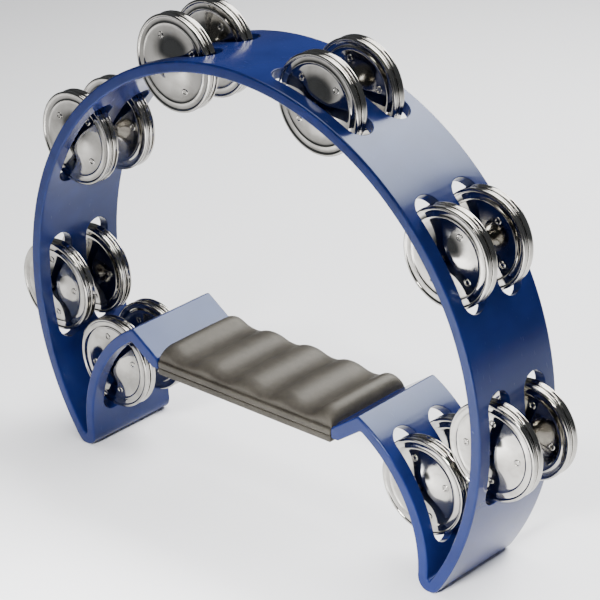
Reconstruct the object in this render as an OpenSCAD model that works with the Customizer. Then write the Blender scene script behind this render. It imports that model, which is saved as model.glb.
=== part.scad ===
// Cutaway half-moon tambourine: a moulded hoop that ends in two curved horns, joined by a
// straight handle. Pairs of loose discs sit on pins in slots, in a front row and a back row.
// X runs left to right, Y front to back, Z up. The origin is on the ground under the middle,
// where the hoop stands on its two horn feet.

/* [Hoop] */
// Outer diameter of the hoop
ring_d = 254; // [230:1:320]
// Width of the strip, front edge to back edge
body_w = 48; // [44:1:70]
// Thickness of the moulded strip
wall = 5; // [4:0.2:8]
// Height of the hoop's centre above the ground
rise = 74; // [66:1:85]

/* [Horns] */
// Outer radius of each horn's curved inner arm
horn_r = 65; // [55:1:85]
// Radius of the rounded foot where hoop and horn meet
foot_r = 5.8; // [5:0.1:8]
// How far the foot is cut flat to stand on
foot_cut = 0.2; // [0.1:0.05:0.5]
// Radius at the bottom of the narrow space between hoop and horn
notch_r = 1; // [0.6:0.1:2]

/* [Handle] */
// Length of the hand grip
grip_len = 99; // [80:1:115]
// Height of the handle bar's upper face above the ground
bar_top = 58; // [48:1:66]
// Thickness of the handle bar inside the grip
bar_t = 5; // [4:0.2:7]
// Width of the handle bar inside the grip
bar_w = 38; // [26:1:42]
// Sideways run of the ramp from the grip up to the crest of the horn
ramp_run = 14.5; // [10:0.5:22]
// Height that the ramp climbs
ramp_rise = 10; // [6:0.5:16]

/* [Grip] */
// Thickness of the grip's floor under the bar
floor_t = 1.9; // [1.4:0.1:3]
// Height of the lower grip shell
lower_h = 3; // [2.4:0.1:6]
// Height of the lip along the upper half's foot
lip_h = 3; // [2:0.1:3.5]
// How far the ridged body stands in from the lip on each side
lip_in = 1.2; // [0.5:0.1:2]
// Pad thickness over the bar in a finger hollow
pad_t = 2.8; // [2:0.1:6]
// Height of a finger ridge over the hollow beside it
ridge_h = 2.6; // [1.5:0.1:4]
// Number of finger hollows
hollows = 4; // [3:1:5]
// Radius of the rounded grip ends
end_r = 5; // [4:0.5:7]
// Radius of the rounded long edges
side_r = 6; // [3:0.5:9]

/* [Jingles] */
// Diameter of a jingle disc
disc_d = 42; // [34:0.5:46]
// Sheet thickness of a disc
disc_t = 0.7; // [0.5:0.1:1]
// Radius of the rolled bead round a disc's face
bead_r = 0.8; // [0.6:0.05:1]
// Radius of the curled edge that faces the other disc of the pair
curl_r = 0.55; // [0.45:0.05:0.7]
// Diameter of the dome, out to the foot of its slope
dome_d = 29; // [22:0.5:31]
// Height of the dome over the disc
dome_h = 2.6; // [1.5:0.1:3.2]
// Diameter of the hole in the middle
hole_d = 4; // [3.2:0.1:5]
// Distance between the two beads of a pair
pair_gap = 4.4; // [4:0.1:6]
// Open gap between the curled edges of a pair
edge_gap = 0.6; // [0.4:0.1:1]
// Distance between the front row and the back row
row_pitch = 22; // [19:0.5:28]
// Angle between neighbouring places along the hoop
place_pitch = 37; // [32:0.5:40]

/* [Slots and pins] */
// Room between a disc's edge and each end of its slot
slot_end_gap = 4; // [2.5:0.5:6]
// Side room between a disc's dome and the slot wall
side_gap = 1.35; // [0.6:0.05:2]
// Diameter of the pins
pin_d = 2.4; // [2:0.1:3]
// Plastic left in front of each blind pin bore
pin_skin = 3.3; // [2:0.1:6]
// Depth of the pin's end below the back edge
pin_sink = 1.5; // [0.5:0.1:3]

/* [Screws] */
// Shank diameter of the grip screws
screw_d = 3; // [2.5:0.1:4]
// Head diameter of the grip screws
head_d = 6; // [5:0.1:8]
// Distance between the two grip screws
screw_pitch = 45; // [30:1:70]

/* [Hidden] */
$fn = 96;
fit_gap = 0.1;      // between grip shells and bar, and at the parting line
run_gap = 0.05;     // round a pin or a screw shank
stop_gap = 0.1;     // left when a disc stops against its slot or its partner
through = 1;        // overrun of every cut
ease = 0.05;        // keeps a round from ending exactly flush with a flat face
bar_gap = 0.5;      // between each end of the grip and its ramp
ramp_extra = 1;     // the ramp is this much thicker than the bar
ridge_share = 0.81; // place of a disc's fine ridge, from its middle out to its edge

// hoop and horns
ring_r = ring_d / 2;
ring_c = [0, rise];
foot_z = foot_r - foot_cut;
foot_c = [sqrt(pow(ring_r - foot_r, 2) - pow(rise - foot_z, 2)), foot_z];
bar_end = grip_len / 2 + bar_gap;
crest = [bar_end + ramp_run, bar_top + ramp_rise];
horn_c = meet(crest, horn_r, foot_c, horn_r - wall + foot_r);
crest_angle = bearing(horn_c, crest);
foot_angle = bearing(horn_c, foot_c);
ring_end = 90 - bearing(ring_c, foot_c);
notch_c = meet(horn_c, horn_r + notch_r, ring_c, ring_r - wall - notch_r);
notch_hoop = ring_c + (ring_r - wall) * unit(notch_c - ring_c);
notch_horn = horn_c + horn_r * unit(notch_c - horn_c);

// grip, from the ground up
ramp_t = bar_t + ramp_extra;
bar_z = bar_top - bar_t;
base_z = bar_z - fit_gap - floor_t;
pad_z = base_z + lower_h + fit_gap;
hollow_z = bar_top + pad_t;
ridge_pitch = (grip_len - 2 * end_r + 2 * bar_gap) / hollows;
wave_r = (pow(ridge_pitch / 2, 2) + pow(ridge_h, 2)) / (4 * ridge_h);
end_x = grip_len / 2 - end_r;
last_hollow = ridge_pitch * (hollows - 1) / 2;
end_z = hollow_z + wave_r - sqrt(pow(wave_r + end_r, 2) - pow(end_x - last_hollow, 2));
pad_top = max(end_z + end_r, hollow_z + ridge_h);
channel_w = bar_w + 2 * fit_gap;
body_half = body_w / 2 - lip_in;
screw_top = bar_top + pad_t - 1;

// discs, measured outward from the middle of a pair
disc_r = disc_d / 2;
rim_u = pair_gap / 2;
dome_top = rim_u + disc_t / 2 + dome_h;
slot_w = 2 * (dome_top + side_gap);
slot_l = disc_d + 2 * slot_end_gap;
hang = (hole_d - pin_d) / 2 - run_gap;
dome_r = dome_d / 2;
slope_r = (pow(dome_r, 2) + pow(dome_h, 2)) / (4 * dome_h);

// places: name, centre, bearing of the strip's outward normal from +Z
mid_r = ring_r - wall / 2;
horn_mid_r = horn_r - wall / 2;
horn_turn = 90 - (crest_angle + foot_angle) / 2;
ring_names = ["top", "mid", "low"];
ring_places = [for (s = [-1, 1], k = [0:2])
    let (a = s * place_pitch * (k + 0.5))
    [str(ring_names[k], s < 0 ? "_l" : "_r"), [mid_r * sin(a), rise + mid_r * cos(a)], a]];
horn_places = [for (s = [-1, 1])
    [s < 0 ? "horn_l" : "horn_r",
     [s * (horn_c[0] + horn_mid_r * sin(horn_turn)), horn_c[1] + horn_mid_r * cos(horn_turn)],
     s * horn_turn]];
places = concat(ring_places, horn_places);
rows = [["f", -row_pitch / 2], ["b", row_pitch / 2]];   // front and back
sides = [["1", -1], ["2", 1]];                          // front disc and back disc of a pair

// Bearing of point b seen from a, in degrees from +X
function bearing(a, b) = atan2(b[1] - a[1], b[0] - a[0]);
function dir(a) = [cos(a), sin(a)];
function unit(v) = v / norm(v);

// Meeting point of two circles, on the right-hand side of the way from a to b
function meet(a, ra, b, rb) =
    let (d = norm(b - a), u = (b - a) / d, t = (ra * ra - rb * rb + d * d) / (2 * d))
    a + t * u + sqrt(ra * ra - t * t) * [u[1], -u[0]];

// Extrude an X-Z outline along Y, centred
module along_y(w) {
    translate([0, w / 2, 0]) rotate([90, 0, 0]) linear_extrude(w) children();
}

// Curved band round c, between two bearings
module band(c, r, t, from, to) {
    far = 2 * r;
    half = (to - from) / 2;
    intersection() {
        translate(c) difference() {
            circle(r, $fn = 360);
            circle(r - t, $fn = 360);
        }
        union() {
            polygon([c, c + far * dir(from), c + far * dir(from + half / 2), c + far * dir(from + half)]);
            polygon([c, c + far * dir(from + half), c + far * dir(to - half / 2), c + far * dir(to)]);
        }
    }
}
module mirrored() {
    children();
    mirror([1, 0]) children();
}

// Point on the underside where the ramp meets the horn's inner face
ramp_dir = unit([ramp_run, ramp_rise]);
ramp_low = [bar_end, bar_top] + ramp_t * [ramp_dir[1], -ramp_dir[0]];
ramp_under = cut_circle(ramp_low, ramp_dir, horn_c, horn_r - wall);
function cut_circle(p, u, c, r) =
    let (w = p - c, b = w * u, q = w * w - r * r) p + (sqrt(b * b - q) - b) * u;

// Foot of the narrow space between hoop and horn, inside the round foot
module foot_notch() {
    across = unit(notch_hoop - notch_horn);
    up = [-across[1], across[0]];
    reach = 2 * foot_r;
    intersection() {
        difference() {
            translate(ring_c) circle(ring_r - wall, $fn = 360);
            translate(horn_c) circle(horn_r, $fn = 360);
        }
        polygon([notch_horn - reach * across, notch_hoop + reach * across,
                 notch_hoop + reach * (across + up), notch_horn + reach * (up - across)]);
    }
    translate(notch_c) circle(notch_r, $fn = 48);
}

module horn_arm() {
    band(horn_c, horn_r, wall, foot_angle, crest_angle);
}

// Hoop from foot to foot, with both round feet
module hoop_outline() {
    band(ring_c, ring_r, wall, 90 - ring_end, 90 + ring_end);
    mirrored() difference() {
        translate(foot_c) circle(foot_r, $fn = 96);
        foot_notch();
        horn_arm();
    }
}

// Both horns, their ramps and the bar between them
module handle_outline() {
    mirrored() {
        horn_arm();
        polygon([crest, [bar_end, bar_top], [bar_end, bar_z], [ramp_low[0], bar_z],
                 ramp_low, ramp_under]);
    }
    translate([-bar_end - ease, bar_z]) square([2 * (bar_end + ease), bar_t]);
}

// Rounded slot for one pair, cut straight through the strip
module slot() {
    depth = 3 * wall + 6;
    translate([0, 0, -depth / 2]) {
        for (s = [-1, 1])
            translate([s * (slot_l - slot_w) / 2, 0, 0]) cylinder(d = slot_w, h = depth);
        translate([-(slot_l - slot_w) / 2, -slot_w / 2, 0]) cube([slot_l - slot_w, slot_w, depth]);
    }
}

module at_place(p) {
    translate([p[1][0], 0, p[1][1]]) rotate([0, p[2], 0]) children();
}

// Both slots and the blind pin bore of each place
module place_cuts(list) {
    for (p = list) {
        for (r = rows) at_place(p) translate([0, r[1], 0]) slot();
        translate([p[1][0], 0, p[1][1]]) rotate([-90, 0, 0])
            translate([0, 0, pin_skin - body_w / 2])
                cylinder(d = pin_d + 2 * run_gap, h = body_w, $fn = 48);
    }
}

module screw_bores(z, h) {
    for (s = [-1, 1]) translate([s * screw_pitch / 2, 0, z])
        cylinder(d = screw_d + 2 * run_gap, h = h, $fn = 48);
}

module hoop() {
    color("navy") difference() {
        along_y(body_w) intersection() {
            hoop_outline();
            translate([-ring_d, 0]) square(2 * ring_d);
        }
        place_cuts(ring_places);
    }
}

// One moulding with the hoop, which it meets at both feet
module handle() {
    side_cut = (body_w - bar_w) / 2;
    color("navy") difference() {
        along_y(body_w) handle_outline();
        // bar made narrower inside the grip
        for (y = [-body_w / 2 - through, bar_w / 2])
            translate([-bar_end, y, bar_z - through])
                cube([2 * bar_end, side_cut + through, bar_t + 2 * through]);
        place_cuts(horn_places);
        screw_bores(bar_z - through, bar_t + 2 * through);
    }
}

// Lower shell: a shallow tray that closes the grip under the bar
module grip_lower() {
    color("dimgray") difference() {
        translate([-grip_len / 2, -body_w / 2, base_z]) cube([grip_len, body_w, lower_h]);
        translate([-grip_len / 2 - through, -channel_w / 2, base_z + floor_t])
            cube([grip_len + 2 * through, channel_w, lower_h]);
        screw_bores(base_z - through, lower_h);
        for (s = [-1, 1]) translate([s * screw_pitch / 2, 0, base_z])
            cylinder(d1 = head_d + 2 * run_gap, d2 = screw_d + 2 * run_gap,
                     h = (head_d - screw_d) / 2, $fn = 48);
    }
}

// Side view of the ridges: ridges and hollows are arcs that run into each other
module pad_wave() {
    mean_z = hollow_z + ridge_h / 2;
    difference() {
        union() {
            translate([-end_x, pad_z]) square([2 * end_x, mean_z - pad_z]);
            translate([-grip_len / 2, pad_z]) square([grip_len, end_z - ease - pad_z]);
            for (i = [1:hollows - 1])
                translate([(i - hollows / 2) * ridge_pitch, hollow_z + ridge_h - wave_r])
                    circle(wave_r);
            mirrored() translate([end_x - ease, end_z]) circle(end_r);
        }
        for (i = [0:hollows - 1])
            translate([(i - (hollows - 1) / 2) * ridge_pitch, hollow_z + wave_r]) circle(wave_r);
        translate([-grip_len, pad_z - 4 * wave_r]) square([2 * grip_len, 4 * wave_r]);
    }
}

// End view of what is cut away outside the two rounded long edges
module long_edges() {
    mirrored() translate([body_half - side_r, pad_top - side_r]) difference() {
        square(side_r + through);
        translate([ease, ease]) circle(side_r);
    }
}

// Upper half: ridged body that stands in from a flush lip, over the bar
module grip_upper() {
    long = grip_len + 2 * through;
    color("dimgray") difference() {
        union() {
            along_y(2 * body_half) pad_wave();
            translate([-grip_len / 2, -body_w / 2, pad_z]) cube([grip_len, body_w, lip_h]);
        }
        rotate([90, 0, 90]) translate([0, 0, -long / 2]) linear_extrude(long) long_edges();
        translate([-long / 2, -channel_w / 2, pad_z - through])
            cube([long, channel_w, bar_top + fit_gap - pad_z + through]);
        screw_bores(bar_top, screw_top - bar_top);
    }
}

module screw(side) {
    head_h = (head_d - screw_d) / 2;
    recess_w = 0.6;
    recess_deep = 0.8;
    color("silver") translate([side * screw_pitch / 2, 0, base_z]) difference() {
        union() {
            cylinder(d1 = head_d, d2 = screw_d, h = head_h, $fn = 48);
            cylinder(d = screw_d, h = screw_top - run_gap - base_z, $fn = 48);
        }
        // crossed driver recess
        for (turn = [0, 90]) rotate([0, 0, turn])
            translate([-head_d / 4, -recess_w / 2, -through])
                cube([head_d / 2, recess_w, recess_deep + through]);
    }
}
module screw_l() { screw(-1); }
module screw_r() { screw(1); }

module pin(p) {
    color("silver") translate([p[1][0], 0, p[1][1]]) rotate([-90, 0, 0])
        translate([0, 0, pin_skin + run_gap - body_w / 2])
            cylinder(d = pin_d, h = body_w - pin_skin - run_gap - pin_sink, $fn = 48);
}

// Half section of a disc: radius across, distance from the middle of the pair up.
// The dome is one arc out to half its radius, then the same arc turned over down to its foot.
module disc_section() {
    ridge_r = disc_t * 0.75;
    curl = [disc_r - bead_r, edge_gap / 2 + curl_r];
    difference() {
        union() {
            translate([0, rim_u + dome_h - slope_r]) sheet_arc(0, 1);
            translate([dome_r, rim_u + slope_r]) sheet_arc(-dome_r / 2, -1);
            translate([dome_r, rim_u - disc_t / 2]) square([curl[0] - dome_r, disc_t]);
            translate([disc_r * ridge_share, rim_u + disc_t / 4]) circle(ridge_r, $fn = 32);
            translate([disc_r - bead_r, rim_u]) circle(bead_r, $fn = 32);
            translate(curl - [disc_t / 2, 0]) square([disc_t, rim_u - curl[1]]);
            translate(curl) circle(curl_r, $fn = 32);
        }
        translate([-through, 0]) square([through + hole_d / 2, dome_top + through]);
    }
}

// Part of the dome's sheet, from x out by half the dome's radius; way is up or down
module sheet_arc(x, way) {
    intersection() {
        difference() {
            circle(slope_r + disc_t / 2, $fn = 360);
            circle(slope_r - disc_t / 2, $fn = 360);
        }
        translate([x, way > 0 ? 0 : -2 * slope_r]) square([dome_r / 2, 2 * slope_r]);
    }
}

module jingle(p, row_y, side) {
    color("gainsboro") translate([p[1][0], row_y, p[1][1] - hang])
        rotate([side < 0 ? 90 : -90, 0, 0]) rotate_extrude($fn = 128) disc_section();
}

hoop();
handle();
grip_lower();
grip_upper();
screw_l();
screw_r();
for (p = places) {
    pin(p);
    for (r = rows, d = sides)
        jingle(p, r[1], d[1]);
}
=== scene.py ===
import math
import random

import bpy
from mathutils import Matrix, Vector


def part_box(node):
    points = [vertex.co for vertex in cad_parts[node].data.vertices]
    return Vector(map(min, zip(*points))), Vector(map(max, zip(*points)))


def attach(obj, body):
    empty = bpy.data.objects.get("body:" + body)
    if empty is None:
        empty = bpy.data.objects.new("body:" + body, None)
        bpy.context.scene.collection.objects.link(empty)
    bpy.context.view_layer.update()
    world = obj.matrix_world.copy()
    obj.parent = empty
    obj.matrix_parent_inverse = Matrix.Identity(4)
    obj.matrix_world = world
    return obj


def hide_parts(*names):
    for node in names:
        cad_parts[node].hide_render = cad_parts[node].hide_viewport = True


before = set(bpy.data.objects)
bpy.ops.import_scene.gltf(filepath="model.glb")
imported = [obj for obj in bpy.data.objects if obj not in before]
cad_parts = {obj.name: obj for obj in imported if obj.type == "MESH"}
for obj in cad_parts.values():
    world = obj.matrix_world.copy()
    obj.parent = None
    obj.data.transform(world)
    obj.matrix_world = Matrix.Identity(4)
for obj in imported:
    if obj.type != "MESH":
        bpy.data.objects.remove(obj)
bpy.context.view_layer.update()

# Looks for a cutaway half-moon tambourine: moulded hoop, ridged grip, plated discs, pins.
# Lengths are written in millimetres, and MM turns them into metres.
MM = 0.001

PLACES = ("top_l", "mid_l", "low_l", "top_r", "mid_r", "low_r", "horn_l", "horn_r")
BODY = "frame"


# ---------------------------------------------------------------- camera

def look(target, azimuth, elevation, roll, distance, shift, field):
    """Camera that looks back at a target from an azimuth and an elevation, in degrees."""
    a, e, turn = (math.radians(v) for v in (azimuth, elevation, roll))
    back = Vector((math.sin(a) * math.cos(e), -math.cos(a) * math.cos(e), math.sin(e)))
    level = Vector((math.cos(a), math.sin(a), 0))
    rise = back.cross(level)
    right = math.cos(turn) * level + math.sin(turn) * rise
    up = back.cross(right)
    place = Vector(target) + distance * back + shift[0] * right + shift[1] * up
    camera = bpy.data.objects.new("camera", bpy.data.cameras.new("camera"))
    turned_to = Matrix((right, up, back)).transposed().to_4x4()
    camera.matrix_world = Matrix.Translation(place) @ turned_to
    camera.data.sensor_width = 36
    camera.data.lens = 18 / math.tan(math.radians(field) / 2)
    camera.data.clip_start, camera.data.clip_end = 0.01, 50
    bpy.context.collection.objects.link(camera)
    bpy.context.scene.camera = camera


look((0, 0, 0.074), 43.36, 25.11, -2.29, 1.0276, (0.009, 0.016), 13.97)


# ---------------------------------------------------------------- modelling by hand

def alone(piece):
    """Leave edit mode and make one object the only one picked."""
    if bpy.context.object and bpy.context.object.mode != "OBJECT":
        bpy.ops.object.mode_set(mode="OBJECT")
    bpy.ops.object.select_all(action="DESELECT")
    piece.select_set(True)
    bpy.context.view_layer.objects.active = piece


def opened(name):
    """Name the primitive just added and open it with everything picked."""
    piece = bpy.context.active_object
    piece.name = piece.data.name = name
    alone(piece)
    bpy.ops.object.mode_set(mode="EDIT")
    bpy.ops.mesh.select_mode(type="VERT")
    bpy.ops.mesh.select_all(action="SELECT")
    return piece


def closed(piece):
    """Merge doubles, turn faces outwards and leave edit mode."""
    bpy.ops.mesh.select_all(action="SELECT")
    bpy.ops.mesh.remove_doubles(threshold=1e-6)
    bpy.ops.mesh.normals_make_consistent(inside=False)
    bpy.ops.object.mode_set(mode="OBJECT")
    return piece


def pick_edges(piece, test):
    """In edit mode, pick only the edges whose two ends pass a test."""
    bpy.ops.mesh.select_mode(type="EDGE")
    bpy.ops.mesh.select_all(action="DESELECT")
    bpy.ops.object.mode_set(mode="OBJECT")
    points = piece.data.vertices
    for edge in piece.data.edges:
        edge.select = test(*(points[i].co for i in edge.vertices))
    bpy.ops.object.mode_set(mode="EDIT")


def wire(outline, y):
    """In edit mode, draw a closed X-Z outline at a depth, point by point, and leave it picked."""
    bpy.ops.mesh.select_all(action="DESELECT")
    bpy.ops.mesh.primitive_plane_add(size=0.01, location=(0, 0, 0))
    bpy.ops.mesh.merge(type="CENTER")
    first = at = Vector((outline[0][0], y, outline[0][1]))
    bpy.ops.transform.translate(value=at)
    for x, z in outline[1:]:
        to = Vector((x, y, z))
        bpy.ops.mesh.extrude_vertices_move(TRANSFORM_OT_translate={"value": to - at})
        at = to
    bpy.ops.mesh.extrude_vertices_move(TRANSFORM_OT_translate={"value": first - at})


def walled(name, outer, inner, start, depth):
    """Draw two closed X-Z outlines of as many points, bridge them and extrude along Y."""
    bpy.ops.mesh.primitive_plane_add(size=0.01, location=(0, 0, 0))
    piece = opened(name)
    bpy.ops.mesh.delete(type="VERT")
    wire(outer, start)
    wire(inner, start)
    bpy.ops.mesh.select_all(action="SELECT")
    bpy.ops.mesh.remove_doubles(threshold=1e-6)
    bpy.ops.mesh.select_mode(type="EDGE")
    bpy.ops.mesh.select_all(action="SELECT")
    bpy.ops.mesh.bridge_edge_loops()
    bpy.ops.mesh.select_all(action="SELECT")
    bpy.ops.mesh.extrude_region_move(TRANSFORM_OT_translate={"value": (0, depth, 0)})
    return closed(piece)


def lofted(name, section, stations, foot):
    """Fill a Y-Z section at the first station and extrude it along X. Each station is
    (x, share): the section's height over its foot is scaled by the share."""
    bpy.ops.mesh.primitive_plane_add(size=0.01, location=(0, 0, 0))
    piece = opened(name)
    bpy.ops.mesh.merge(type="CENTER")
    x, share = stations[0]
    at = Vector((x, *section[0]))
    bpy.ops.transform.translate(value=at)
    for y, z in section[1:]:
        to = Vector((x, y, z))
        bpy.ops.mesh.extrude_vertices_move(TRANSFORM_OT_translate={"value": to - at})
        at = to
    bpy.ops.mesh.select_all(action="SELECT")
    bpy.ops.mesh.edge_face_add()
    bpy.ops.mesh.select_all(action="SELECT")
    bpy.ops.transform.resize(value=(1, 1, share), center_override=(0, 0, foot))
    for to_x, to_share in stations[1:]:
        bpy.ops.mesh.extrude_region_move(TRANSFORM_OT_translate={"value": (to_x - x, 0, 0)})
        bpy.ops.transform.resize(value=(1, 1, to_share / share), center_override=(0, 0, foot))
        x, share = to_x, to_share
    return closed(piece)


def turned(name, outline, steps):
    """Turn a closed outline of (radius, height) about Z, one ring after another."""
    radius, height = outline[0]
    bpy.ops.mesh.primitive_circle_add(vertices=steps, radius=radius, location=(0, 0, 0))
    piece = opened(name)
    bpy.ops.transform.translate(value=(0, 0, height))
    for r, h in outline[1:] + outline[:1]:
        bpy.ops.mesh.extrude_region_move(TRANSFORM_OT_translate={"value": (0, 0, h - height)})
        bpy.ops.transform.resize(value=(r / radius, r / radius, 1), center_override=(0, 0, 0))
        radius, height = r, h
    return closed(piece)


def modified(piece, kind, **settings):
    """Add a modifier and apply it."""
    alone(piece)
    modifier = piece.modifiers.new(kind.lower(), kind)
    for key, value in settings.items():
        setattr(modifier, key, value)
    bpy.ops.object.modifier_apply(modifier=modifier.name)


def settled(piece):
    """Put an object's place and turn into its mesh."""
    alone(piece)
    bpy.ops.object.transform_apply(location=True, rotation=True, scale=True)


def smooth(piece, angle=35):
    alone(piece)
    bpy.ops.object.shade_smooth_by_angle(angle=math.radians(angle), keep_sharp_edges=False)


def dressed(piece, body, slot, material, *nodes):
    """Give a piece its material, hang it under its body and hide the CAD nodes it stands for."""
    piece.data.materials.clear()
    piece.data.materials.append(material)
    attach(piece, body)
    if nodes:
        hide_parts(*nodes)


# ---------------------------------------------------------------- shader maths

class Wire:
    """One output of a shader node. Arithmetic on it adds Math nodes."""

    def __init__(self, finish, socket):
        self.finish, self.socket = finish, socket

    def _maths(self, operation, *values):
        return self.finish.add("Math", {"operation": operation}, dict(enumerate(values)))

    def __add__(self, other):
        return self._maths("ADD", self, other)

    def __mul__(self, other):
        return self._maths("MULTIPLY", self, other)

    __radd__, __rmul__ = __add__, __mul__


class Finish:
    """A material built round one Principled shader."""

    def __init__(self, name, **fixed):
        self.material = bpy.data.materials.new(name)
        self.material.use_nodes = True
        self.tree = self.material.node_tree
        self.shader = self.tree.nodes["Principled BSDF"]
        for key, value in fixed.items():
            self.shader.inputs[key.replace("_", " ")].default_value = value

    def feed(self, socket, value):
        if isinstance(value, Wire):
            self.tree.links.new(value.socket, socket)
        else:
            socket.default_value = value

    def add(self, kind, settings, sockets, output=0):
        """Add a node: its settings first, then the values or links of its sockets."""
        node = self.tree.nodes.new("ShaderNode" + kind)
        for key, value in settings.items():
            if key == "stops":
                ramp = node.color_ramp
                while len(ramp.elements) < len(value):
                    ramp.elements.new(0.5)
                for element, (position, colour) in zip(ramp.elements, value):
                    element.position = position
                    element.color = (*colour, 1)
            else:
                setattr(node, key, value)
        for key, value in sockets.items():
            self.feed(node.inputs[key], value)
        return Wire(self, node.outputs[output])

    def place(self):
        return self.add("TexCoord", {}, {}, "Object")

    def scaled(self, vector, scale):
        return self.add("Mapping", {}, {"Vector": vector, "Scale": scale})

    def noise(self, vector, scale, detail=2.0, roughness=0.5, distortion=0.0):
        return self.add("TexNoise", {}, {"Vector": vector, "Scale": scale, "Detail": detail,
                                         "Roughness": roughness, "Distortion": distortion})

    def span(self, value, low, high, to_low=0.0, to_high=1.0):
        return self.add("MapRange", {"interpolation_type": "SMOOTHSTEP"},
                        {"Value": value, "From Min": low, "From Max": high,
                         "To Min": to_low, "To Max": to_high})

    def blend(self, factor, first, second):
        """Colour between two colours."""
        return self.add("Mix", {"data_type": "RGBA"}, {0: factor, 6: first, 7: second}, 2)

    def give(self, **wires):
        for key, value in wires.items():
            self.feed(self.shader.inputs[key.replace("_", " ")], value)

    def bump(self, height, strength, distance):
        self.give(Normal=self.add("Bump", {}, {"Height": height, "Strength": strength,
                                               "Distance": distance}))


def rgb(r, g, b):
    return (r, g, b, 1.0)


def moulded_plastic():
    """Glossy deep blue moulding: faint flow in the colour, soft waviness, fine rubs."""
    f = Finish("hoop_plastic", IOR=1.5, Specular_IOR_Level=0.28,
               Specular_Tint=rgb(0.66, 0.79, 1.0))
    at = f.place()
    flow = f.noise(f.scaled(at, (1, 0.4, 1)), 18, 3, 0.55, 0.6)
    cloud = f.noise(at, 70, 2)
    tone = f.span(flow * 0.7 + cloud * 0.3, 0.35, 0.65)
    f.give(Base_Color=f.blend(tone, rgb(0.0050, 0.0105, 0.070), rgb(0.0095, 0.0185, 0.105)))
    rubs = f.noise(f.scaled(at, (1, 9, 1)), 190, 3, 0.6)
    rubbed = f.span(rubs, 0.62, 0.74)
    f.give(Roughness=0.15 + f.noise(at, 45, 2) * 0.07 + rubbed * 0.10)
    sink = f.noise(at, 32, 1)
    grain = f.noise(at, 1400, 2)
    f.bump(sink * 0.8 + grain * 0.02 + rubbed * 0.01, 0.35, 0.0012)
    return f.material


def moulded_rubber(name, dark, light):
    """Satin dark rubber with a fine spark grain and dry, paler wear in patches that vary at
    random.
    """
    f = Finish(name, IOR=1.47, Specular_Tint=rgb(1.0, 0.95, 0.82))
    at = f.place()
    cloud = f.noise(at, 60, 4, 0.6)
    dust = f.noise(at, 420, 3, 0.7)
    tone = f.span(cloud * 0.6 + dust * 0.4, 0.35, 0.7)
    f.give(Base_Color=f.blend(tone, dark, light))
    f.give(Roughness=0.47 + cloud * 0.12)
    grain = f.noise(at, 2300, 3, 0.6)
    f.bump(grain + cloud * 0.5, 0.30, 0.0003)
    return f.material


def plated_nickel():
    """Nickel plate over spun steel, coloured darker than bare nickel as painted shade for darker
    surroundings in its reflections: fine turned rings, slight haze and fingermarks.
    """
    f = Finish("jingle_plate", Metallic=1.0)
    at = f.place()
    plan = f.add("UVMap", {"uv_map": "plan"}, {})
    radius = f.add("VectorMath", {"operation": "LENGTH"}, {0: plan}, "Value")
    rings = f.noise(f.add("CombineXYZ", {}, {"X": radius}), 420, 2, 0.7)
    haze = f.noise(at, 130, 3, 0.6, 0.4)
    # Painted shade: both plate colours are darker than bare nickel, which dims every reflection;
    # the haze blends between them at random.
    f.give(Base_Color=f.blend(f.span(haze, 0.35, 0.7),
                              rgb(0.43, 0.415, 0.385), rgb(0.32, 0.307, 0.28)))
    f.give(Roughness=0.05 + f.span(haze, 0.45, 0.75) * 0.09 + rings * 0.05)
    dents = f.noise(at, 95, 1)
    f.bump(rings * 0.03 + dents, 0.12, 0.0008)
    return f.material


def drawn_steel(name, tint):
    """Plain drawn wire or zinc plate, with drag lines along Y."""
    f = Finish(name, Metallic=1.0)
    at = f.place()
    lines = f.noise(f.scaled(at, (1, 0.03, 1)), 2600, 2)
    f.give(Base_Color=f.blend(f.span(f.noise(at, 240, 3), 0.3, 0.7), tint, rgb(0.42, 0.41, 0.4)))
    f.give(Roughness=0.22 + lines * 0.2)
    f.bump(lines, 0.15, 0.0001)
    return f.material


PLASTIC = moulded_plastic()
RUBBER = moulded_rubber("grip_rubber", rgb(0.029, 0.025, 0.020), rgb(0.056, 0.050, 0.040))
SHELL = moulded_rubber("grip_shell", rgb(0.025, 0.022, 0.018), rgb(0.047, 0.042, 0.034))
NICKEL = plated_nickel()
WIRE = drawn_steel("pin_steel", rgb(0.62, 0.61, 0.6))
ZINC = drawn_steel("screw_steel", rgb(0.6, 0.6, 0.62))


# ---------------------------------------------------------------- hoop

HALF_WIDTH = 24 * MM
WALL = 5 * MM
CENTRE = Vector((0, 74)) * MM
OUTER_R = 127 * MM
HORN_R = 65 * MM
HORN = Vector((34.43, 10.37)) * MM
FOOT_R = 5.8 * MM
FOOT = Vector((100.05, 5.6)) * MM
NOTCH = Vector((100.3, 6.32)) * MM
NOTCH_R = 1 * MM
CREST = Vector((64.5, 68)) * MM
BAR_END, BAR_TOP, BAR_THICK = 50 * MM, 58 * MM, 5 * MM
BAR_CUT = 6 * MM            # width of the step cut from each side of the bar
RAMP_THICK = 6 * MM
RAMP_UNDER = Vector((65.72, 61.56)) * MM
MID_R = OUTER_R - WALL / 2
HORN_MID_R = HORN_R - WALL / 2
ROW_PITCH = 22 * MM
PLACE_PITCH = 37            # degrees between neighbouring places
SLOT_R, SLOT_SHIFT = 6.5 * MM, 18.5 * MM
BORE_R, BORE_DEPTH = 1.25 * MM, 8 * MM
LONG_EDGE, CUT_EDGE = 0.9 * MM, 0.4 * MM


def bearing(start, end):
    way = end - start
    return math.degrees(math.atan2(way.y, way.x))


def arc(centre, radius, start, stop, count):
    """Points along an arc in the X-Z plane, angles in degrees from +X."""
    angles = [math.radians(start + (stop - start) * i / count) for i in range(count + 1)]
    return [Vector((centre[0] + radius * math.cos(a), centre[1] + radius * math.sin(a)))
            for a in angles]


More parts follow.
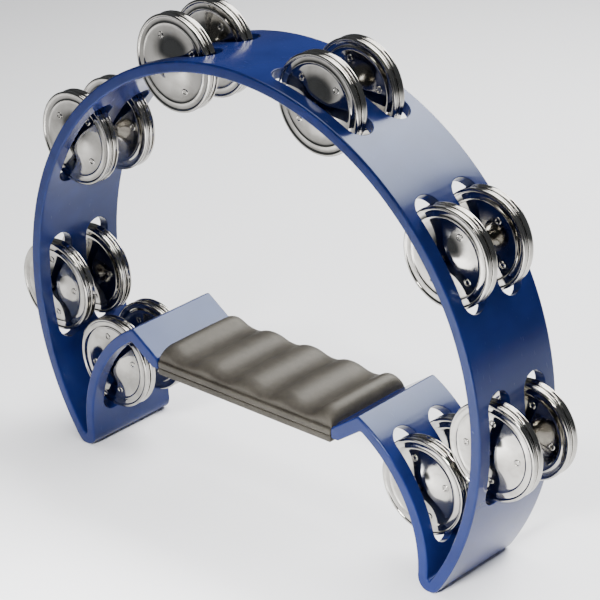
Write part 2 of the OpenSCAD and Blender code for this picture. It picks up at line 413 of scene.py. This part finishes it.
def eased(before, corner, after, reach, count):
    """Points that round a corner, starting and ending a reach away from it."""
    start = corner + (before - corner).normalized() * reach
    stop = corner + (after - corner).normalized() * reach
    return [start * (1 - t) ** 2 + corner * 2 * t * (1 - t) + stop * t * t
            for t in (i / count for i in range(count + 1))]


def between(start, stop, count):
    return [start.lerp(stop, i / count) for i in range(1, count)]


def hoop_outlines():
    """Outside and inside of the moulding's wall, from the top round by the right foot."""
    end = bearing(CENTRE, FOOT)
    foot = bearing(HORN, FOOT)
    outer = arc(CENTRE, OUTER_R, 90, end, 84) + arc(FOOT, FOOT_R, end, foot - 180, 14)[1:]
    notch_end, notch_foot = bearing(CENTRE, NOTCH), bearing(HORN, NOTCH)
    inner = arc(CENTRE, OUTER_R - WALL, 90, notch_end, 84)
    inner += arc(NOTCH, NOTCH_R, notch_end, notch_foot - 180, 14)[1:]
    outer = [Vector((p.x, max(p.y, 0))) for p in outer]
    bar_corner = Vector((BAR_END, BAR_TOP))
    ramp = (CREST - bar_corner).normalized()
    low = bar_corner + RAMP_THICK * Vector((ramp.y, -ramp.x))
    under_angle, crest_angle = bearing(HORN, RAMP_UNDER), bearing(HORN, CREST)
    outer += arc(HORN, HORN_R - WALL, foot, under_angle - 1.5, 30)[1:]
    inner += arc(HORN, HORN_R, notch_foot, crest_angle - 1, 30)[1:]
    bottom = Vector((low.x, BAR_TOP - BAR_THICK))
    outer += eased(outer[-1], RAMP_UNDER, low, 1.5 * MM, 6)
    inner += eased(inner[-1], CREST, bar_corner, 0.7 * MM, 6)
    outer += between(outer[-1], low, 6) + [low, bottom]
    inner += between(inner[-1], bar_corner, 7) + [bar_corner]
    outer += [bottom.lerp(Vector((0, bottom.y)), i / 5) for i in range(1, 6)]
    inner += [Vector((BAR_END * (1 - i / 5), BAR_TOP)) for i in range(1, 6)]
    return [half + [Vector((-p.x, p.y)) for p in reversed(half[1:-1])]
            for half in (outer, inner)]


def seats():
    """Middle of each place in the wall, and its turn from upright, in degrees."""
    horn_turn = 90 - (bearing(HORN, CREST) + bearing(HORN, FOOT)) / 2
    right = [(CENTRE, MID_R, PLACE_PITCH * (k + 0.5)) for k in range(3)]
    right.append((HORN, HORN_MID_R, horn_turn))
    found = []
    for sign in (-1, 1):
        for centre, radius, turn in right:
            a = math.radians(turn)
            at = centre + radius * Vector((math.sin(a), math.cos(a)))
            found.append((Vector((sign * at.x, at.y)), sign * turn))
    return found


def slot_cutter(at, turn, y):
    """A stadium-shaped bar through the wall: a cylinder pulled apart along the strip."""
    sides = 44
    bpy.ops.mesh.primitive_cylinder_add(vertices=sides, radius=SLOT_R, depth=21 * MM)
    cutter = opened("slot_cutter")
    bpy.ops.transform.rotate(value=math.radians(180 / sides), orient_axis="Z",
                             center_override=(0, 0, 0))
    for sign in (-1, 1):
        pick_edges(cutter, lambda a, b: a.x * sign > 0 and b.x * sign > 0)
        bpy.ops.transform.translate(value=(sign * SLOT_SHIFT, 0, 0))
    closed(cutter)
    cutter.matrix_world = (Matrix.Translation((at.x, y, at.y))
                           @ Matrix.Rotation(math.radians(turn), 4, "Y"))
    settled(cutter)
    return cutter


def pin_bore(at):
    """A blind bore in the back edge, round the end of a pin."""
    bpy.ops.mesh.primitive_cylinder_add(vertices=32, radius=BORE_R, depth=BORE_DEPTH,
                                        location=(at.x, HALF_WIDTH - 3 * MM, at.y),
                                        rotation=(math.pi / 2, 0, 0))
    settled(bpy.context.active_object)
    return bpy.context.active_object


def joined(pieces):
    alone(pieces[0])
    for piece in pieces[1:]:
        piece.select_set(True)
    bpy.ops.object.join()
    return bpy.context.active_object


def cut(piece, cutters):
    cutter = joined(cutters)
    modified(piece, "BOOLEAN", operation="DIFFERENCE", solver="EXACT", object=cutter)
    bpy.data.objects.remove(cutter)


def make_hoop():
    outer, inner = hoop_outlines()
    hoop = walled("hoop_moulding", outer, inner, -HALF_WIDTH, 2 * HALF_WIDTH)
    marks = [{(round(p.x, 6), round(p.y, 6)) for p in line} for line in (outer, inner)]

    def long_edge(a, b):
        ends = [(round(v.x, 6), round(v.z, 6)) for v in (a, b)]
        return abs(a.y - b.y) < 1e-6 and any(all(e in m for e in ends) for m in marks)

    alone(hoop)
    bpy.ops.object.mode_set(mode="EDIT")
    pick_edges(hoop, long_edge)
    bpy.ops.mesh.bevel(offset=LONG_EDGE, segments=3, profile=0.5, affect="EDGES")
    closed(hoop)

    cutters = [slot_cutter(at, turn, sign * ROW_PITCH / 2)
               for at, turn in seats() for sign in (-1, 1)]
    for sign in (-1, 1):
        bpy.ops.mesh.primitive_cube_add(size=1, scale=(2 * BAR_END, BAR_CUT, 2 * BAR_CUT),
                                        location=(0, sign * 22 * MM, BAR_TOP - 2 * MM))
        cutters.append(bpy.context.active_object)
        settled(cutters[-1])
    cut(hoop, cutters)
    modified(hoop, "BEVEL", width=CUT_EDGE, segments=2, limit_method="ANGLE",
             angle_limit=math.radians(60), use_clamp_overlap=False)
    for point in hoop.data.vertices:    # the bevel can push a corner past the strip's sides
        point.co.y = max(-HALF_WIDTH, min(HALF_WIDTH, point.co.y))
    cut(hoop, [pin_bore(at) for at, turn in seats()])
    smooth(hoop, 50)
    modified(hoop, "WEIGHTED_NORMAL", keep_sharp=True)
    dressed(hoop, BODY, "hoop_plastic", PLASTIC, "hoop", "handle")


# ---------------------------------------------------------------- discs

SHEET = 0.35 * MM           # half the sheet's thickness
BEAD_R, CURL_R = 0.8 * MM, 0.55 * MM
FACE = 2.2 * MM             # from the middle of a pair out to the middle of the sheet
EDGE = 0.85 * MM            # the same, to the middle of the curled edge
DOME_R, DOME_H = 14.5 * MM, 2.6 * MM
RIB_R, RIB_H, RIB_SPREAD = 17 * MM, 0.3 * MM, 0.5 * MM
PIP_R, PIPS = 12.6 * MM, 4
PIP_RING, PIP_WIRE, PIP_SINK = 1.15 * MM, 0.42 * MM, 0.08 * MM


def dome_rise(r):
    """Height of the dome over the flange: an arc, then the same arc turned over to its foot."""
    slope = (DOME_R ** 2 + DOME_H ** 2) / (4 * DOME_H)
    if r < DOME_R / 2:
        return DOME_H - slope + math.sqrt(slope ** 2 - r ** 2)
    if r < DOME_R:
        return slope - math.sqrt(slope ** 2 - (DOME_R - r) ** 2)
    return RIB_H * math.exp(-((r - RIB_R) / RIB_SPREAD) ** 2)


def disc_outline(edge_r):
    """Section of one disc as (radius, distance from the middle of its pair)."""
    radii = [2, 2.2, 3, 4, 5, 6, 7, 7.8, 8.6, 9.4, 10.3, 11.2, 12, 12.8, 13.6, 14.4,
             15.4, 16.1, 16.5, 16.8, 17, 17.2, 17.5, 17.9, 18.5, 19.1]
    top = [(r * MM, FACE + dome_rise(r * MM) + SHEET) for r in radii]
    under = [(r, h - 2 * SHEET) for r, h in reversed(top)]
    bead = [(edge_r - BEAD_R + BEAD_R * math.cos(a), FACE + BEAD_R * math.sin(a))
            for a in (math.radians(d) for d in range(150, -31, -20))]
    curl = [(edge_r - BEAD_R + CURL_R * math.cos(a), EDGE + CURL_R * math.sin(a))
            for a in (math.radians(d) for d in range(40, -181, -20))]
    inside = [(edge_r - BEAD_R - CURL_R, EDGE + 0.3 * MM),
              (edge_r - BEAD_R - 0.4 * MM, FACE - 0.6 * MM)]
    return top + bead + curl + inside + under


def make_disc():
    """One disc, turned about Z, with its stamped dimples and a flat plan map."""
    low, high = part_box("jingle_top_r_f1")
    disc = turned("disc", disc_outline((high.x - low.x) / 2), 128)
    stamps = []
    for i in range(PIPS):
        a = 2 * math.pi * i / PIPS
        rise = FACE + dome_rise(PIP_R) + SHEET
        bpy.ops.mesh.primitive_torus_add(
            major_radius=PIP_RING, minor_radius=PIP_WIRE, major_segments=28, minor_segments=10,
            location=(PIP_R * math.cos(a), PIP_R * math.sin(a), rise - PIP_SINK),
            rotation=(0, math.radians(8), a))
        stamps.append(bpy.context.active_object)
    disc = joined([disc] + stamps)
    for layer in list(disc.data.uv_layers):
        disc.data.uv_layers.remove(layer)
    plan = disc.data.uv_layers.new(name="plan")
    plan_size = 50 * MM
    for loop in disc.data.loops:
        point = disc.data.vertices[loop.vertex_index].co
        plan.data[loop.index].uv = (point.x / plan_size, point.y / plan_size)
    smooth(disc, 50)
    return disc


def make_discs():
    pattern = make_disc()
    draw = random.Random(7)
    for place in PLACES:
        for row in "fb":
            for side in "12":
                node = f"jingle_{place}_{row}{side}"
                low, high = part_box(node)
                outward = -1 if side == "1" else 1
                inner = high.y if side == "1" else low.y
                disc = pattern.copy()
                disc.data = pattern.data.copy()
                disc.name = disc.data.name = f"disc_{place}_{row}{side}"
                bpy.context.collection.objects.link(disc)
                spin = Matrix.Rotation(draw.uniform(0, math.pi / 2), 4, "Z")
                tip = Matrix.Rotation(-outward * math.pi / 2, 4, "X")
                at = Vector(((low.x + high.x) / 2, inner - outward * (EDGE - CURL_R),
                             (low.z + high.z) / 2))
                disc.matrix_world = Matrix.Translation(at) @ tip @ spin
                settled(disc)
                dressed(disc, node, "jingle_plate", NICKEL, node)
    bpy.data.objects.remove(pattern)


# ---------------------------------------------------------------- grip

GRIP_HALF = 49.5 * MM
HOLLOW_Z, RIDGE_H, HOLLOWS = 60.8 * MM, 2.6 * MM, 4
PART_LINE = 54.05 * MM
LIP_TOP = 57.1 * MM
LIP_IN = 1.2 * MM
PAD_TOP, END_R = 64.4 * MM, 5 * MM
SIDE_ROUND_Y, SIDE_ROUND_Z, SIDE_SHAPE = 7 * MM, 5.5 * MM, 0.9
SCREW_X = 22.5 * MM


def ridge_stations():
    """(x, height) along the pad: round end ridges, then hollows and ridges that flow together."""
    end_r = END_R
    pitch = (2 * GRIP_HALF - 2 * end_r + MM) / HOLLOWS
    wave = ((pitch / 2) ** 2 + RIDGE_H ** 2) / (4 * RIDGE_H)
    end_x = GRIP_HALF - end_r
    last = pitch * (HOLLOWS - 1) / 2
    end_z = HOLLOW_Z + wave - math.sqrt((wave + end_r) ** 2 - (end_x - last) ** 2)
    meet_x = last + (end_x - last) * wave / (wave + end_r)

    def height(x):
        x = abs(x)
        if x > meet_x:
            return end_z + math.sqrt(max(end_r ** 2 - (x - end_x) ** 2, 0))
        phase = abs(((x / pitch) % 1) - 0.5) * pitch
        if phase < pitch / 4 or x > last:
            return HOLLOW_Z + wave - math.sqrt(wave ** 2 - phase ** 2)
        return HOLLOW_Z + RIDGE_H - wave + math.sqrt(wave ** 2 - (pitch / 2 - phase) ** 2)

    ends = [end_x + end_r * math.sin(math.radians(a)) for a in (90, 84, 76, 66, 54, 40, 24, 8)]
    middle = [end_x * (1 - 2 * i / 88) for i in range(89)]
    xs = ends + middle + [-x for x in reversed(ends)]
    return [(x, height(x)) for x in xs]


def make_grip():
    foot = LIP_TOP - 1 * MM
    half = HALF_WIDTH - LIP_IN
    right = [(half - SIDE_ROUND_Y + SIDE_ROUND_Y * math.cos(a) ** SIDE_SHAPE,
              PAD_TOP - SIDE_ROUND_Z + SIDE_ROUND_Z * math.sin(a) ** SIDE_SHAPE)
             for a in (math.radians(d) for d in range(0, 85, 7))]
    crown = [(half - SIDE_ROUND_Y - 3 * MM, PAD_TOP + 0.05 * MM), (6 * MM, PAD_TOP + 0.15 * MM)]
    side = [(half, foot)] + right + crown
    section = side + [(-y, z) for y, z in reversed(side)]
    stations = [(x, (z - foot) / (PAD_TOP - foot)) for x, z in ridge_stations()]
    pad = lofted("grip_pad", section, stations, foot)
    modified(pad, "BEVEL", width=0.5 * MM, segments=2, limit_method="ANGLE",
             angle_limit=math.radians(50), use_clamp_overlap=True)
    bpy.ops.mesh.primitive_cube_add(
        size=1, scale=(2 * GRIP_HALF, 2 * HALF_WIDTH, LIP_TOP - PART_LINE),
        location=(0, 0, (LIP_TOP + PART_LINE) / 2))
    lip = bpy.context.active_object
    settled(lip)
    modified(lip, "BEVEL", width=0.55 * MM, segments=3, use_clamp_overlap=False)
    pad = joined([pad, lip])
    pad.name = "grip_top"
    smooth(pad, 40)
    dressed(pad, BODY, "grip_rubber", RUBBER, "grip_upper")

    low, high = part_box("grip_lower")
    bpy.ops.mesh.primitive_cube_add(size=1, scale=high - low, location=(low + high) / 2)
    shell = opened("grip_shell")
    closed(shell)
    settled(shell)
    cut(shell, screw_recesses(low.z))
    modified(shell, "BEVEL", width=0.5 * MM, segments=3, limit_method="ANGLE",
             angle_limit=math.radians(60), use_clamp_overlap=False)
    smooth(shell, 40)
    dressed(shell, BODY, "grip_shell", SHELL, "grip_lower")


def screw_recesses(z):
    """Countersinks in the shell's underside, at a height."""
    cutters = []
    for x in (-SCREW_X, SCREW_X):
        bpy.ops.mesh.primitive_cone_add(vertices=48, radius1=3.05 * MM, radius2=1.55 * MM,
                                        depth=1.5 * MM, location=(x, 0, z + 0.74 * MM))
        cutters.append(bpy.context.active_object)
        settled(cutters[-1])
    return cutters


# ---------------------------------------------------------------- pins and screws

def make_fixings():
    """The CAD's own pins and screws keep their meshes and get their finishes."""
    finishes = {f"pin_{place}": WIRE for place in PLACES}
    finishes.update(screw_l=ZINC, screw_r=ZINC)
    for name, material in finishes.items():
        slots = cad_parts[name].data.materials
        slots.clear()
        slots.append(material)


# ---------------------------------------------------------------- floor and light

def make_set():
    bpy.ops.mesh.primitive_plane_add(size=12, location=(0, 0, 0))
    floor = bpy.context.active_object
    floor.name = "floor"
    f = Finish("floor_paper", Roughness=0.85, Base_Color=rgb(0.96, 0.96, 0.97))
    floor.data.materials.append(f.material)
    world = bpy.data.worlds.new("studio")
    bpy.context.scene.world = world
    world.use_nodes = True
    world.node_tree.nodes["Background"].inputs["Color"].default_value = rgb(0.86, 0.92, 1.0)
    world.node_tree.nodes["Background"].inputs["Strength"].default_value = 0.12
    softbox("back_softbox", (0.07, 0.78, 0.74), (0.03, 0.12, 0), (0.75, 0.55), 8, 100)
    softbox("top_softbox", (-0.1, 0.05, 1.25), (0, 0, 0), (0.8, 0.8), 7, 120)
    softbox("front_softbox", (0.3, -0.95, 0.5), (0.14, -0.38, 0), (0.4, 0.3), 5, 28)


def softbox(name, place, target, size, power, spread):
    """A soft rectangular light at a place, facing a target."""
    light = bpy.data.lights.new(name, "AREA")
    light.shape = "RECTANGLE"
    light.size, light.size_y = size
    light.energy = power
    light.spread = math.radians(spread)
    lamp = bpy.data.objects.new(name, light)
    lamp.location = place
    lamp.rotation_euler = (Vector(target) - Vector(place)).to_track_quat("-Z", "Y").to_euler()
    bpy.context.collection.objects.link(lamp)


make_hoop()
make_discs()
make_grip()
make_fixings()
make_set()
